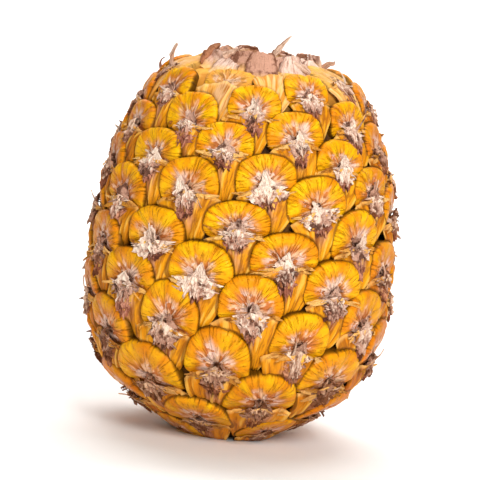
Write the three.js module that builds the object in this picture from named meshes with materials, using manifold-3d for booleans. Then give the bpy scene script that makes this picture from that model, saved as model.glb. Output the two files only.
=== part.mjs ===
// A pineapple without its crown: the fruit with its eyes and dry bract tips, the torn leaf
// bases left on its top, and the cut end of its stalk. Millimetres, +Z up, standing on Z = 0.

import * as THREE from "three";
import { mergeVertices } from "three/addons/utils/BufferGeometryUtils.js";
import Module from "manifold-3d";

// Driving dimensions of the fruit
const FRUIT_WIDTH = 114.6; // across the skin at the belly, between creases and arches
const SKIN_PROFILE = [
  // share of the half width, height above the base; both ends run on past where they are cut off
  [0.27, -14],
  [0.285, -4],
  [0.33, -0.4],
  [0.385, 1.8],
  [0.45, 4.6],
  [0.545, 8.2],
  [0.668, 13.4],
  [0.78, 20],
  [0.886, 28],
  [0.952, 38],
  [0.99, 50],
  [1, 60],
  [0.99, 76],
  [0.956, 94],
  [0.888, 110],
  [0.8, 122],
  [0.716, 132],
  [0.6, 139.5],
  [0.44, 143],
  [0.36, 146],
  [0.27, 158],
];
const PROFILE_STEPS = 600;

// Driving dimensions of the eyes, which grow in a spiral of the golden angle
const GOLDEN_ANGLE = THREE.MathUtils.degToRad(137.585);
const FIRST_EYE_ANGLE = THREE.MathUtils.degToRad(6.1); // of eye 0, from -Y towards +X
const FIRST_EYE_HEIGHT = 52.7;
const BELLY_EYE_AREA = 547;
const LOW_EYE_AREA = 670;
const LOW_EYES_FROM = 58; // height where the eyes begin to grow towards the lower flank
const LOW_EYES_TO = 24;
const TOP_EYE_AREA = 330;
const TOP_EYES_FROM = 58; // height where the eyes begin to shrink towards the top
const TOP_EYES_TO = 146;
const BASE_EYE_AREA = 360;
const BASE_EYES_FROM = 14; // height where the eyes begin to shrink towards the base
const CUT_OFF_EYE_AREA = 60; // on the ends that are cut off
const LOWEST_EYE = -47;
const HIGHEST_EYE = 86;
const LEFT_STEP = 8; // the neighbour up to the left
const RIGHT_STEP = 13; // the neighbour up to the right
const ARCH_BULGE = 0.11; // how far an eye's upper sides bow out, as a share of the eye

// Relief of one eye, measured from the skin
const ARCH_HEIGHT = 1.9;
const BRACT_BASE_HEIGHT = 0.5;
const CREASE_DEPTH = 2.1;
const CORNER_PIT_DEPTH = 1.3;
const CUP_DEPTH = 1.7;
const CUP_SIZE = 0.3;
const CREASE_SQUARE = 0.74; // where the grid's outermost line but one lies, 1 being the crease
const ARCH_RISE = [-0.35, 0.25]; // steps up the eye between which the bract gives way to the arch
const PIT_FROM = 0.7; // steps across the eye where its corner pit begins, 1 being the corner

// Relief fades out over these heights towards the ends that are cut off
const BASE_FADE = 2;
const TOP_FADE = 4;

// The dry tip of the bract, which leans up and out over the cup in the middle of each eye
const TIP_SQUARE = 0.36; // where the grid's innermost line lies, at the foot of the tip
const TIP_RISE = 0.13; // how far up the eye it reaches, in steps to both upper neighbours
const TIP_HEIGHT = 4.2;
const TIP_VARIES = 0.35; // share by which tips differ in height

// Leaf bases left by the crown
const CROWN_SEAT_RADIUS = 23;
const CROWN_SEAT_HEIGHT = 138.4;
const CROWN_CUT_HEIGHT = 143.2; // where the skin has reached the crown's seat
const CROWN_RING_HEIGHT = 4.6;
const CROWN_RING_SHOULDER = 2.8; // height over the seat where the ring begins to slope in
const CROWN_RIM_RADIUS = 18.4;
const CROWN_SCAR_RADIUS = 9;
const CROWN_SCAR_FLOOR_RADIUS = 5.4;
const CROWN_SCAR_DEPTH = 1.8;
const CROWN_SCAR_CROWNING = 0.5; // how far the middle of the scar's floor rises
const LEAF_ROWS = [
  // leaves in the row, radius of the row, length, width, lean inwards in radians
  [17, 20.4, 8.6, 9.5, 0.22],
  [13, 16.2, 7.4, 8.6, 0.16],
  [9, 12, 5.4, 7, 0.06],
];
const LEAF_THICKNESS = 1.1;
const LEAF_ROOT_DEPTH = 2.4;
const LEAF_SHORTEST = 0.6; // least length of a torn leaf, as a share of the row's length
const LEAF_LENGTH_VARIES = 0.6;
const LEAF_TIP_WIDTHS = [0.2, 0.4]; // width at the torn end, as a share of the row's width
const LEAF_CURL = 1.6; // farthest that a torn end curls outwards
const LEAF_HOLLOW = 0.25; // how far a leaf's sides bend inwards, as a share of its half width
const LEAF_SLANT = 0.1; // steepest slant of a torn end, as a share of the row's width
const LEAF_SPREAD = 0.4; // unevenness of the leaves round a row, as a share of their spacing
const SEAT_FLARE = 6;
const ABOVE_ALL = 170; // higher than anything of the fruit
const BELOW_ALL = -20; // lower than anything of the fruit

// Cut end of the stalk
const STALK_RADIUS = 12.5;
const STALK_DEPTH = 6;
const STALK_DISH_DEPTH = 0.9;
const STALK_DISH_RADIUS = 7;
const STALK_DISH_SLOPE_RADIUS = 3.5; // where the dish's steep side ends
const STALK_DISH_SLOPE_DEPTH = 0.72;

const CLEARANCE = 0.3; // between neighbouring pieces
const ROUND_STEPS = 32;
const SEED = 7;

// Colours and finishes
const goldenRind = new THREE.MeshStandardMaterial({ color: 0xd9870f, roughness: 0.55, metalness: 0 });
const dryLeaf = new THREE.MeshStandardMaterial({ color: 0xd9b79b, roughness: 0.9, metalness: 0 });
const cutStalk = new THREE.MeshStandardMaterial({ color: 0xc2a06a, roughness: 0.85, metalness: 0 });

// A seeded draw, so that the fruit comes out the same every time
function seededRandom(seed) {
  let state = seed;
  return () => {
    state = (state * 1664525 + 1013904223) % 4294967296;
    return state / 4294967296;
  };
}

const random = seededRandom(SEED);
const eyeDraws = Array.from({ length: HIGHEST_EYE - LOWEST_EYE + 1 }, random);

// Runs smoothly from 0 at one value to 1 at the other, which may be the smaller
function smoothStep(from, to, value) {
  const share = THREE.MathUtils.clamp((value - from) / (to - from), 0, 1);
  return share * share * (3 - 2 * share);
}

function eyeAreaAt(height) {
  if (height < 0 || height > CROWN_CUT_HEIGHT) {
    return CUT_OFF_EYE_AREA;
  }
  let area = BELLY_EYE_AREA;
  area = THREE.MathUtils.lerp(area, TOP_EYE_AREA, smoothStep(TOP_EYES_FROM, TOP_EYES_TO, height));
  area = THREE.MathUtils.lerp(area, LOW_EYE_AREA, smoothStep(LOW_EYES_FROM, LOW_EYES_TO, height));
  return THREE.MathUtils.lerp(area, BASE_EYE_AREA, smoothStep(BASE_EYES_FROM, 0, height));
}

// The meridian of the skin, with the number of the eye that grows at each point of it. Eyes
// take up the skin's area one after another, so the number is area over area per eye.
function traceMeridian() {
  const corners = SKIN_PROFILE.map(([share, z]) => new THREE.Vector2((share * FRUIT_WIDTH) / 2, z));
  const points = new THREE.SplineCurve(corners).getPoints(PROFILE_STEPS);
  const eyeNumbers = [0];
  for (let step = 1; step < points.length; step++) {
    const here = points[step];
    const before = points[step - 1];
    const bandArea = Math.PI * (here.x + before.x) * here.distanceTo(before);
    eyeNumbers.push(eyeNumbers[step - 1] + bandArea / eyeAreaAt(here.y));
  }
  const first = points.findIndex((point) => point.y > FIRST_EYE_HEIGHT);
  const numberOfFirst = eyeNumbers[first];
  return { points, eyeNumbers: eyeNumbers.map((number) => number - numberOfFirst) };
}

const meridian = traceMeridian();

// Radius, height and outward direction of the skin where the spiral has reached an eye number
function skinAt(eyeNumber) {
  const { points, eyeNumbers } = meridian;
  const last = points.length - 1;
  const held = THREE.MathUtils.clamp(eyeNumber, eyeNumbers[0], eyeNumbers[last]);
  let low = 0;
  let high = last;
  while (high - low > 1) {
    const middle = (low + high) >> 1;
    if (eyeNumbers[middle] <= held) {
      low = middle;
    } else {
      high = middle;
    }
  }
  const share = (held - eyeNumbers[low]) / (eyeNumbers[high] - eyeNumbers[low]);
  const place = points[low].clone().lerp(points[high], share);
  const along = points[high].clone().sub(points[low]).normalize();
  return { radius: place.x, height: place.y, outward: along.y, upward: -along.x };
}

// How far an eye's two neighbour steps turn round the axis
const leftTurn = LEFT_STEP * -GOLDEN_ANGLE + 2 * Math.PI * 3;
const rightTurn = RIGHT_STEP * -GOLDEN_ANGLE + 2 * Math.PI * 5;

// A place on the skin given by steps to the left and right neighbour, raised by a height
function onSkin(leftSteps, rightSteps, raised) {
  const angle = FIRST_EYE_ANGLE + leftSteps * leftTurn + rightSteps * rightTurn;
  const skin = skinAt(leftSteps * LEFT_STEP + rightSteps * RIGHT_STEP);
  const shown = smoothStep(-BASE_FADE, BASE_FADE, skin.height)
    * smoothStep(CROWN_CUT_HEIGHT, CROWN_CUT_HEIGHT - TOP_FADE, skin.height);
  const radius = skin.radius + raised * shown * skin.outward;
  const height = skin.height + raised * shown * skin.upward;
  return new THREE.Vector3(radius * Math.sin(angle), -radius * Math.cos(angle), height);
}

// Height of an eye's surface over the skin. left and right run from -0.5 to 0.5 across it.
function eyeRelief(left, right) {
  const up = left + right;
  const across = right - left;
  const toCrease = 2 * Math.max(Math.abs(left), Math.abs(right));
  const inside = 1 - smoothStep(CREASE_SQUARE, 1, toCrease);
  const arch = smoothStep(ARCH_RISE[0], ARCH_RISE[1], up);
  const top = THREE.MathUtils.lerp(BRACT_BASE_HEIGHT, ARCH_HEIGHT, arch);
  const cup = CUP_DEPTH * Math.exp(-(up * up + across * across) / (CUP_SIZE * CUP_SIZE));
  const pit = CORNER_PIT_DEPTH * smoothStep(PIT_FROM, 1, Math.abs(across));
  return inside * (top + CREASE_DEPTH - cup) - CREASE_DEPTH - pit;
}

// Places of the lines of an eye's grid, crowded towards the tip and the creases
const GRID_LINES = [-1, -CREASE_SQUARE, -TIP_SQUARE, 0, TIP_SQUARE, CREASE_SQUARE, 1].map((at) => at / 2);
const EYE_GRID = GRID_LINES.length - 1;

// The skin of the fruit as one grid over all the eyes, closed at both ends by a fan
function fruitSkin() {
  const around = RIGHT_STEP * EYE_GRID; // left steps and right steps that together go once round
  const down = LEFT_STEP * EYE_GRID;
  const positions = [];
  const numbers = new Map();

  // Vertices that lie a full turn apart are one and the same
  function vertex(left, right) {
    const turns = Math.floor(right / down);
    const wrappedLeft = left + turns * around;
    const wrappedRight = right - turns * down;
    const key = `${wrappedLeft},${wrappedRight}`;
    if (!numbers.has(key)) {
      numbers.set(key, positions.length / 3);
      positions.push(...gridPoint(wrappedLeft, wrappedRight).toArray());
    }
    return numbers.get(key);
  }

  const triangles = [];
  for (let eye = LOWEST_EYE; eye <= HIGHEST_EYE; eye++) {
    const [leftSteps, rightSteps] = stepsTo(eye);
    for (let row = 0; row < EYE_GRID; row++) {
      for (let column = 0; column < EYE_GRID; column++) {
        const left = leftSteps * EYE_GRID + row;
        const right = rightSteps * EYE_GRID + column;
        const near = vertex(left, right);
        const leftEnd = vertex(left + 1, right);
        const rightEnd = vertex(left, right + 1);
        const far = vertex(left + 1, right + 1);
        const folded = (row < EYE_GRID / 2) === (column < EYE_GRID / 2);
        if (folded) {
          triangles.push([near, rightEnd, leftEnd], [rightEnd, far, leftEnd]);
        } else {
          triangles.push([near, rightEnd, far], [near, far, leftEnd]);
        }
      }
    }
  }
  closeEnds(positions, triangles);
  const geometry = new THREE.BufferGeometry();
  geometry.setAttribute("position", new THREE.Float32BufferAttribute(positions, 3));
  geometry.setIndex(triangles.flat());
  return geometry;
}

// Steps to the left and right neighbour that lead from eye 0 to a numbered eye
function stepsTo(eye) {
  // 8 and 13 meet every whole number: 5 * 8 - 3 * 13 = 1
  const rightSteps = THREE.MathUtils.euclideanModulo(-3 * eye, LEFT_STEP);
  return [(eye - rightSteps * RIGHT_STEP) / LEFT_STEP, rightSteps];
}

function gridPoint(leftLine, rightLine) {
  const leftCell = Math.floor(leftLine / EYE_GRID);
  const rightCell = Math.floor(rightLine / EYE_GRID);
  const left = GRID_LINES[leftLine - leftCell * EYE_GRID];
  const right = GRID_LINES[rightLine - rightCell * EYE_GRID];
  const bowedLeft = leftCell + left + ARCH_BULGE * (Math.cos(Math.PI * right) ** 2 - 0.5);
  const bowedRight = rightCell + right + ARCH_BULGE * (Math.cos(Math.PI * left) ** 2 - 0.5);
  if (left === 0 && right === 0) {
    const eye = leftCell * LEFT_STEP + rightCell * RIGHT_STEP;
    const height = TIP_HEIGHT * (1 + TIP_VARIES * (2 * eyeDraws[eye - LOWEST_EYE] - 1));
    return onSkin(bowedLeft + TIP_RISE, bowedRight + TIP_RISE, height);
  }
  return onSkin(bowedLeft, bowedRight, eyeRelief(left, right));
}

// Fans from each open edge loop of the skin to a point on the axis
function closeEnds(positions, triangles) {
  const nextOf = new Map();
  for (const [a, b, c] of triangles) {
    for (const [from, to] of [[a, b], [b, c], [c, a]]) {
      nextOf.set(`${from},${to}`, [from, to]);
    }
  }
  const openEdges = [...nextOf.values()].filter(([from, to]) => !nextOf.has(`${to},${from}`));
  const middle = FIRST_EYE_HEIGHT;
  for (const isEnd of [(z) => z < middle, (z) => z > middle]) {
    const edges = openEdges.filter(([from]) => isEnd(positions[from * 3 + 2]));
    const height = edges.reduce((sum, [from]) => sum + positions[from * 3 + 2], 0) / edges.length;
    const centre = positions.length / 3;
    positions.push(0, 0, height);
    triangles.push(...edges.map(([from, to]) => [to, from, centre]));
  }
}

// A closed solid through a row of sections, each the same number of points
function loft(sections) {
  const sides = sections[0].length;
  const positions = sections.flat().flatMap((point) => point.toArray());
  const index = [];
  for (let row = 0; row < sections.length - 1; row++) {
    for (let side = 0; side < sides; side++) {
      const here = row * sides + side;
      const beside = row * sides + ((side + 1) % sides);
      index.push(here, here + sides, beside, beside, here + sides, beside + sides);
    }
  }
  const lastRow = (sections.length - 1) * sides;
  for (let side = 1; side < sides - 1; side++) {
    index.push(0, side, side + 1);
    index.push(lastRow, lastRow + side + 1, lastRow + side);
  }
  const geometry = new THREE.BufferGeometry();
  geometry.setAttribute("position", new THREE.Float32BufferAttribute(positions, 3));
  geometry.setIndex(index);
  return geometry;
}

// A solid of revolution from [radius, height] corners that start and end on the axis
function turned(corners) {
  const points = corners.map(([radius, height]) => new THREE.Vector2(radius, height));
  return new THREE.LatheGeometry(points, ROUND_STEPS).rotateX(Math.PI / 2);
}

const wasm = await Module();
wasm.setup();

function toSolid(geometry) {
  const bare = geometry.clone();
  bare.deleteAttribute("normal");
  bare.deleteAttribute("uv");
  const merged = mergeVertices(bare);
  return new wasm.Manifold(new wasm.Mesh({
    numProp: 3,
    vertProperties: new Float32Array(merged.getAttribute("position").array),
    triVerts: new Uint32Array(merged.getIndex().array),
  }));
}

function toGeometry(solid) {
  const mesh = solid.getMesh();
  const geometry = new THREE.BufferGeometry();
  geometry.setAttribute("position", new THREE.BufferAttribute(new Float32Array(mesh.vertProperties), 3));
  geometry.setIndex(new THREE.BufferAttribute(new Uint32Array(mesh.triVerts), 1));
  geometry.computeVertexNormals();
  return geometry;
}

function fruit() {
  const belowGround = turned([
    [0, BELOW_ALL],
    [FRUIT_WIDTH, BELOW_ALL],
    [FRUIT_WIDTH, 0],
    [0, 0],
  ]);
  const stalkHole = turned([
    [0, BELOW_ALL],
    [STALK_RADIUS + CLEARANCE, BELOW_ALL],
    [STALK_RADIUS + CLEARANCE, STALK_DEPTH + CLEARANCE],
    [0, STALK_DEPTH + CLEARANCE],
  ]);
  const seatRadius = CROWN_SEAT_RADIUS + CLEARANCE;
  const crownSeat = turned([
    [0, CROWN_SEAT_HEIGHT],
    [seatRadius, CROWN_SEAT_HEIGHT],
    [seatRadius + SEAT_FLARE, ABOVE_ALL],
    [0, ABOVE_ALL],
  ]);
  const solid = toSolid(fruitSkin())
    .subtract(toSolid(belowGround))
    .subtract(toSolid(stalkHole))
    .subtract(toSolid(crownSeat));
  return toGeometry(solid);
}

// One torn leaf base, with X across it, Y up and Z away from the axis
function leafBase(length, width) {
  const tall = length * (LEAF_SHORTEST + LEAF_LENGTH_VARIES * random());
  const tornDraw = random();
  const tornWidth = THREE.MathUtils.lerp(...LEAF_TIP_WIDTHS, tornDraw);
  const tornSlant = (2 * tornDraw - 1) * LEAF_SLANT * width;
  const curl = LEAF_CURL * random();
  const section = (along, share, out, slant) => {
    const half = (width * share) / 2;
    const height = tall * along - LEAF_ROOT_DEPTH;
    return [
      new THREE.Vector3(-half, height - slant, out - half * LEAF_HOLLOW),
      new THREE.Vector3(0, height, out - LEAF_THICKNESS / 2),
      new THREE.Vector3(half, height + slant, out - half * LEAF_HOLLOW),
      new THREE.Vector3(0, height, out + LEAF_THICKNESS / 2),
    ];
  };
  const middle = { along: 0.6, share: 0.84, curled: 0.3 };
  return loft([
    section(0, 1, 0, 0),
    section(middle.along, middle.share, curl * middle.curled, 0),
    section(1, tornWidth, curl, tornSlant),
  ]);
}

// What the broken-off crown left: a ring with its scar, and rows of torn leaf bases on it
function crownLeafBases() {
  const floor = CROWN_SEAT_HEIGHT + CLEARANCE;
  const rim = floor + CROWN_RING_HEIGHT;
  const scarFloor = rim - CROWN_SCAR_DEPTH;
  let solid = toSolid(turned([
    [0, floor],
    [CROWN_SEAT_RADIUS, floor],
    [CROWN_SEAT_RADIUS, floor + CROWN_RING_SHOULDER],
    [CROWN_RIM_RADIUS, rim],
    [CROWN_SCAR_RADIUS, rim],
    [CROWN_SCAR_FLOOR_RADIUS, scarFloor],
    [0, scarFloor + CROWN_SCAR_CROWNING],
  ]));
  for (const [count, radius, length, width, lean] of LEAF_ROWS) {
    for (let leaf = 0; leaf < count; leaf++) {
      const angle = ((leaf + LEAF_SPREAD * random()) / count) * 2 * Math.PI;
      const blade = leafBase(length, width)
        .rotateX(Math.PI / 2)
        .rotateZ(Math.PI)
        .rotateX(lean)
        .translate(0, radius, rim)
        .rotateZ(angle);
      solid = solid.add(toSolid(blade));
    }
  }
  return toGeometry(solid);
}

function stalkEnd() {
  return turned([
    [0, STALK_DISH_DEPTH],
    [STALK_DISH_SLOPE_RADIUS, STALK_DISH_SLOPE_DEPTH],
    [STALK_DISH_RADIUS, 0],
    [STALK_RADIUS, 0],
    [STALK_RADIUS, STALK_DEPTH],
    [0, STALK_DEPTH],
  ]);
}

function named(name, geometry, material) {
  const mesh = new THREE.Mesh(geometry, material);
  mesh.name = name;
  return mesh;
}

const pineapple = new THREE.Group();
pineapple.add(named("fruit", fruit(), goldenRind));
pineapple.add(named("crown_leaf_bases", crownLeafBases(), dryLeaf));
pineapple.add(named("stalk_end", stalkEnd(), cutStalk));

// The origin lies under the middle of the whole part
const box = new THREE.Box3().setFromObject(pineapple);
const centre = box.getCenter(new THREE.Vector3());
pineapple.position.set(-centre.x, -centre.y, -box.min.z);

export default pineapple;
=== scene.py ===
import math
from functools import partial

import bpy
import numpy as np
from mathutils import Matrix, Vector


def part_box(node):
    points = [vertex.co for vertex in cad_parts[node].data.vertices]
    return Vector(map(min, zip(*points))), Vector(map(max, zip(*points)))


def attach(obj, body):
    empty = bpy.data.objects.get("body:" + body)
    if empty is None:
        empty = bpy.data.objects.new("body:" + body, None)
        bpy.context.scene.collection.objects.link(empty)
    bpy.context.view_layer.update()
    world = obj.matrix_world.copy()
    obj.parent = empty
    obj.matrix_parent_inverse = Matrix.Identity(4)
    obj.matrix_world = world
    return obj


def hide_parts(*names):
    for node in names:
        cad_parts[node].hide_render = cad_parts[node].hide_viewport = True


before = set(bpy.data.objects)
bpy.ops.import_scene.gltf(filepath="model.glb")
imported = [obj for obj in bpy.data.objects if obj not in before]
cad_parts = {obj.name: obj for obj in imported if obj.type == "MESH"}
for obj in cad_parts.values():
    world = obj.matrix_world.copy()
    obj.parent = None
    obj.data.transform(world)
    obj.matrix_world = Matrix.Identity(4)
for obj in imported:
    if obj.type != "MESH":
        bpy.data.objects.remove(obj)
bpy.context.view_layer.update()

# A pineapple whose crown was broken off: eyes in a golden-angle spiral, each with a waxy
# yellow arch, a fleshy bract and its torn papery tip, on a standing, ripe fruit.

MM = 0.001

# Skin of the fruit: share of the half width, height in millimetres, from stalk to crown
HALF_WIDTH = 57.3 * MM
SKIN_PROFILE = [
    (0.27, -14), (0.285, -4), (0.33, -0.4), (0.385, 1.8), (0.45, 4.6), (0.545, 8.2), (0.668, 13.4),
    (0.78, 20), (0.886, 28), (0.952, 38), (0.99, 50), (1, 60), (0.99, 76), (0.956, 94),
    (0.888, 110), (0.8, 122), (0.716, 132), (0.6, 139.5), (0.44, 143), (0.36, 146), (0.27, 158),
]
PROFILE_STEPS = 600
FRUIT_HEIGHT = 150 * MM

# Eyes along the spiral
GOLDEN_ANGLE = math.radians(137.585)
FIRST_EYE_ANGLE = math.radians(6.1)
FIRST_EYE_HEIGHT = 52.7 * MM
LOWEST_EYE = -31
HIGHEST_EYE = 69
FADING_EYES = (60.5, 65)  # over which eyes turn flat and pale, round the crown
BARE_EYES = (63, 68)  # covered by the crown's leaf bases
LOWEST_DRY_EYE = -29
SINK = 0.4 * MM  # of everything on the eyes, below its height over the skin
BARE_DEPTH = 1.8 * MM
BELLY_EYE_AREA = 547 * MM**2
TOP_EYE_AREA = 330 * MM**2
TOP_EYES = (58 * MM, 146 * MM)  # heights over which the eyes shrink towards the top
LOW_EYE_AREA = 670 * MM**2
LOW_EYES = (58 * MM, 24 * MM)
BASE_EYE_AREA = 360 * MM**2
BASE_EYES = (14 * MM, 0)
LOW_BREADTH = 1.1  # how much broader the low eyes are
BROAD_EYES = (15 * MM, 45 * MM)
WORN_EYES = (60 * MM, 20 * MM)  # heights over which the dry tips grow darker downwards
EYE_JITTER = 0.8 * MM
EYE_TILT = math.radians(5)
EYE_TURN_WIDTH = 0.56  # width of an eye for a skin radius of one
EYE_SQUARE_WIDTH = 1.24  # least width of an eye for an area of one
USUAL_EYE = 32 * MM
FADED_FLATNESS = 0.5  # share of its relief that a faded eye lacks
PRESSED_FLATNESS = 0.3  # share of its relief that an eye keeps at the ground
PRESSED_EYES = (2 * MM, 20 * MM)

# Crown and stalk
CROWN_RADIUS = 23 * MM
STALK_RADIUS = 12.5 * MM

rng = np.random.default_rng(11)
low_stalk, high_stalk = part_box("stalk_end")
axis_x = (low_stalk.x + high_stalk.x) / 2
axis_y = (low_stalk.y + high_stalk.y) / 2


def smooth(low, high, value):
    share = np.clip((value - low) / (high - low), 0, 1)
    return share * share * (3 - 2 * share)


def blend(a, b, share):
    return a + (b - a) * share


def shortest_turn(angle):
    """The same direction as an angle between minus and plus half a turn."""
    return np.angle(np.exp(1j * angle))


def widen(values, dimensions):
    """A list of numbers with further dimensions of length one."""
    return values.reshape(values.shape + (1,) * dimensions)


# Skin

def trace_skin():
    """Radius and height along the skin's meridian, and its length from the stalk."""
    corners = np.array([(share * HALF_WIDTH, height * MM) for share, height in SKIN_PROFILE])
    padded = np.vstack([corners[:1], corners, corners[-1:]])
    steps = np.linspace(0, len(corners) - 1, PROFILE_STEPS + 1)
    cell = np.minimum(steps.astype(int), len(corners) - 2)
    t = (steps - cell)[:, None]
    p0, p1, p2, p3 = (padded[cell + k] for k in range(4))
    out, back = (p2 - p0) / 2, (p3 - p1) / 2
    points = (2 * p1 - 2 * p2 + out + back) * t**3 + (3 * (p2 - p1) - 2 * out - back) * t**2 + out * t + p1
    lengths = np.concatenate([[0], np.cumsum(np.linalg.norm(np.diff(points, axis=0), axis=1))])
    return points[:, 0], points[:, 1], lengths


def eye_area(height):
    """Area that one eye takes of the skin at a height."""
    area = blend(BELLY_EYE_AREA, TOP_EYE_AREA, smooth(*TOP_EYES, height))
    area = blend(area, LOW_EYE_AREA, smooth(*LOW_EYES, height))
    return blend(area, BASE_EYE_AREA, smooth(*BASE_EYES, height))


SKIN_RADIUS, SKIN_HEIGHT, SKIN_LENGTH = trace_skin()
slope_out = np.gradient(SKIN_RADIUS, SKIN_LENGTH)
slope_up = np.gradient(SKIN_HEIGHT, SKIN_LENGTH)
band = 2 * math.pi * SKIN_RADIUS * np.gradient(SKIN_LENGTH) / eye_area(SKIN_HEIGHT)
EYE_NUMBER = np.cumsum(band)
EYE_NUMBER -= np.interp(FIRST_EYE_HEIGHT, SKIN_HEIGHT, EYE_NUMBER)
LENGTH_AT_GROUND = np.interp(0, SKIN_HEIGHT, SKIN_LENGTH)


def round_axis(angle, radius, height):
    """Points at an angle, radius and height, with X, Y and Z last."""
    x = axis_x + radius * np.sin(angle)
    y = axis_y - radius * np.cos(angle)
    return np.stack(np.broadcast_arrays(x, y, height), axis=-1)


def over_skin(angle, length, raised):
    """Points raised over the skin at an angle round it and a length up it."""
    radius = np.interp(length, SKIN_LENGTH, SKIN_RADIUS)
    height = np.interp(length, SKIN_LENGTH, SKIN_HEIGHT)
    outward = np.interp(length, SKIN_LENGTH, slope_up)
    upward = -np.interp(length, SKIN_LENGTH, slope_out)
    return round_axis(angle, radius + raised * outward, height + raised * upward)


# Eyes

class Eyes:
    """All the eyes: where each grows, its size and its small irregularities."""

    def __init__(self):
        self.number = np.arange(LOWEST_EYE, HIGHEST_EYE + 1)
        self.count = len(self.number)
        self.length = np.interp(self.number, EYE_NUMBER, SKIN_LENGTH)
        self.height = np.interp(self.length, SKIN_LENGTH, SKIN_HEIGHT)
        radius = np.interp(self.length, SKIN_LENGTH, SKIN_RADIUS)
        area = eye_area(self.height)
        jitter = rng.normal(0, EYE_JITTER, (2, self.count))
        self.angle = FIRST_EYE_ANGLE - GOLDEN_ANGLE * self.number + jitter[0] / radius
        self.length = self.length + jitter[1]
        self.width = np.maximum(EYE_TURN_WIDTH * radius, EYE_SQUARE_WIDTH * np.sqrt(area))
        self.tall = 2 * area / self.width
        self.tilt = rng.normal(0, EYE_TILT, self.count)
        self.size = self.width / USUAL_EYE
        self.draw = rng.random(self.count)
        self.ground = rng.uniform(0.05, 0.6, self.count) * MM
        self.fade = smooth(*FADING_EYES, self.number)
        broadened = blend(LOW_BREADTH, 1, smooth(*BROAD_EYES, self.height))
        self.broad = rng.normal(1, 0.04, self.count) * broadened
        self.high = rng.normal(1, 0.06, self.count)
        self.bare = np.isin(self.number, BARE_EYES).astype(float)
        self.dry = np.flatnonzero((self.number >= LOWEST_DRY_EYE) & ~np.isin(self.number, BARE_EYES))
        turned = np.abs(shortest_turn(self.angle))
        low = smooth(*WORN_EYES, self.height)
        # painted shade: skin and bracts turn deeper orange off the front, where the sides fall into shade
        self.painted_side_shade = smooth(0.7, 1.35, turned)  # deeper orange skin, off the front
        # tips darker and smaller low down from wear, and off the front, where the darkening is painted
        # shade
        self.wear_and_side_shade = np.maximum(low, 0.6 * smooth(0.75, 1.3, turned))  # darker tips, low and off the front
        self.level = self.height / FRUIT_HEIGHT

    def looks(self, dimensions):
        """Numbers of every eye for its materials, with so many dimensions after the first."""
        numbers = {"eye_draw": self.draw, "level": self.level, "painted_side_shade": self.painted_side_shade, "fade": self.fade}
        return {name: widen(values, dimensions) for name, values in numbers.items()}

    def where(self, which, x, y):
        """Angle round the fruit and length up its skin, for x across and y up each eye."""
        tilt, middle, angle = (widen(a[which], x.ndim - 1) for a in (self.tilt, self.length, self.angle))
        cos, sin = np.cos(tilt), np.sin(tilt)
        length = middle + x * sin + y * cos
        radius = np.interp(length, SKIN_LENGTH, SKIN_RADIUS)
        return angle + (x * cos - y * sin) / radius, length

    def place(self, which, x, y, raised):
        """Points of eyes: x across and y up each eye, raised over the skin."""
        fade, ground = (widen(a[which], x.ndim - 1) for a in (self.fade, self.ground))
        angle, length = self.where(which, x, y)
        above_base = smooth(*PRESSED_EYES, np.interp(length, SKIN_LENGTH, SKIN_HEIGHT))
        flat = (1 - FADED_FLATNESS * fade) * blend(PRESSED_FLATNESS, 1, above_base)
        points = over_skin(angle, length, raised * flat - SINK)
        points[..., 2] = np.maximum(points[..., 2], ground)
        return points


eyes = Eyes()


RIPPLE_WAVES = [(1, 0.6), (1.7, -1.3), (-2.6, 2.1), (3.9, 3.3)]  # turns along u and v


def phases_for(count, dimensions):
    return rng.uniform(0, 2 * math.pi, (len(RIPPLE_WAVES), count) + (1,) * dimensions)


def ripple(u, v, phases):
    """A smooth uneven height between about -1 and 1 from sines with seeded phases."""
    total = np.zeros(np.broadcast(u, v).shape)
    for k, (a, b) in enumerate(RIPPLE_WAVES):
        total = total + np.sin(a * u + b * v + phases[k]) / (1 + 0.6 * k)
    return total / 2


def nearest_arch(angle, length, own):
    """How close points lie to the arch outline of any other eye: 1 on it, less inside."""
    nearest = np.full(np.broadcast(angle, length).shape, np.inf)
    radius = np.interp(length, SKIN_LENGTH, SKIN_RADIUS)
    for k in range(eyes.count):
        turn = shortest_turn(angle - eyes.angle[k]) * radius
        rise = length - eyes.length[k]
        cos, sin = np.cos(eyes.tilt[k]), np.sin(eyes.tilt[k])
        x = np.abs(turn * cos + rise * sin) / (ARCH_HALF_WIDTH * eyes.width[k] * eyes.broad[k])
        y = rise * cos - turn * sin - ARCH_MIDDLE * eyes.tall[k]
        y = np.abs(y) / (np.where(y > 0, ARCH_REACH_UP, ARCH_REACH_DOWN) * eyes.tall[k] * eyes.high[k])
        share = (x**ARCH_ROUNDNESS + y**ARCH_ROUNDNESS) ** (1 / ARCH_ROUNDNESS)
        nearest = np.where(own == k, nearest, np.minimum(nearest, share))
    return nearest


# Mesh making

def grid_quads(rows, columns, closed_round=False):
    """Quads of a grid of vertices that lie row after row."""
    here = np.arange(rows * columns).reshape(rows, columns)
    beside = np.roll(here, -1, axis=1)
    quads = np.stack([here[:-1], beside[:-1], beside[1:], here[1:]], -1)
    return (quads if closed_round else quads[:, :-1]).reshape(-1, 4)


def round_faces(rows, columns):
    """Quads of a round grid, and the two faces that close it at its first and last row."""
    first = np.arange(columns)
    return grid_quads(rows, columns, closed_round=True), [first[::-1], first + (rows - 1) * columns]


def repeat_faces(faces, copies, vertices_each):
    shift = (np.arange(copies) * vertices_each)[:, None, None]
    return (faces[None] + shift).reshape(-1, faces.shape[1])


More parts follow.
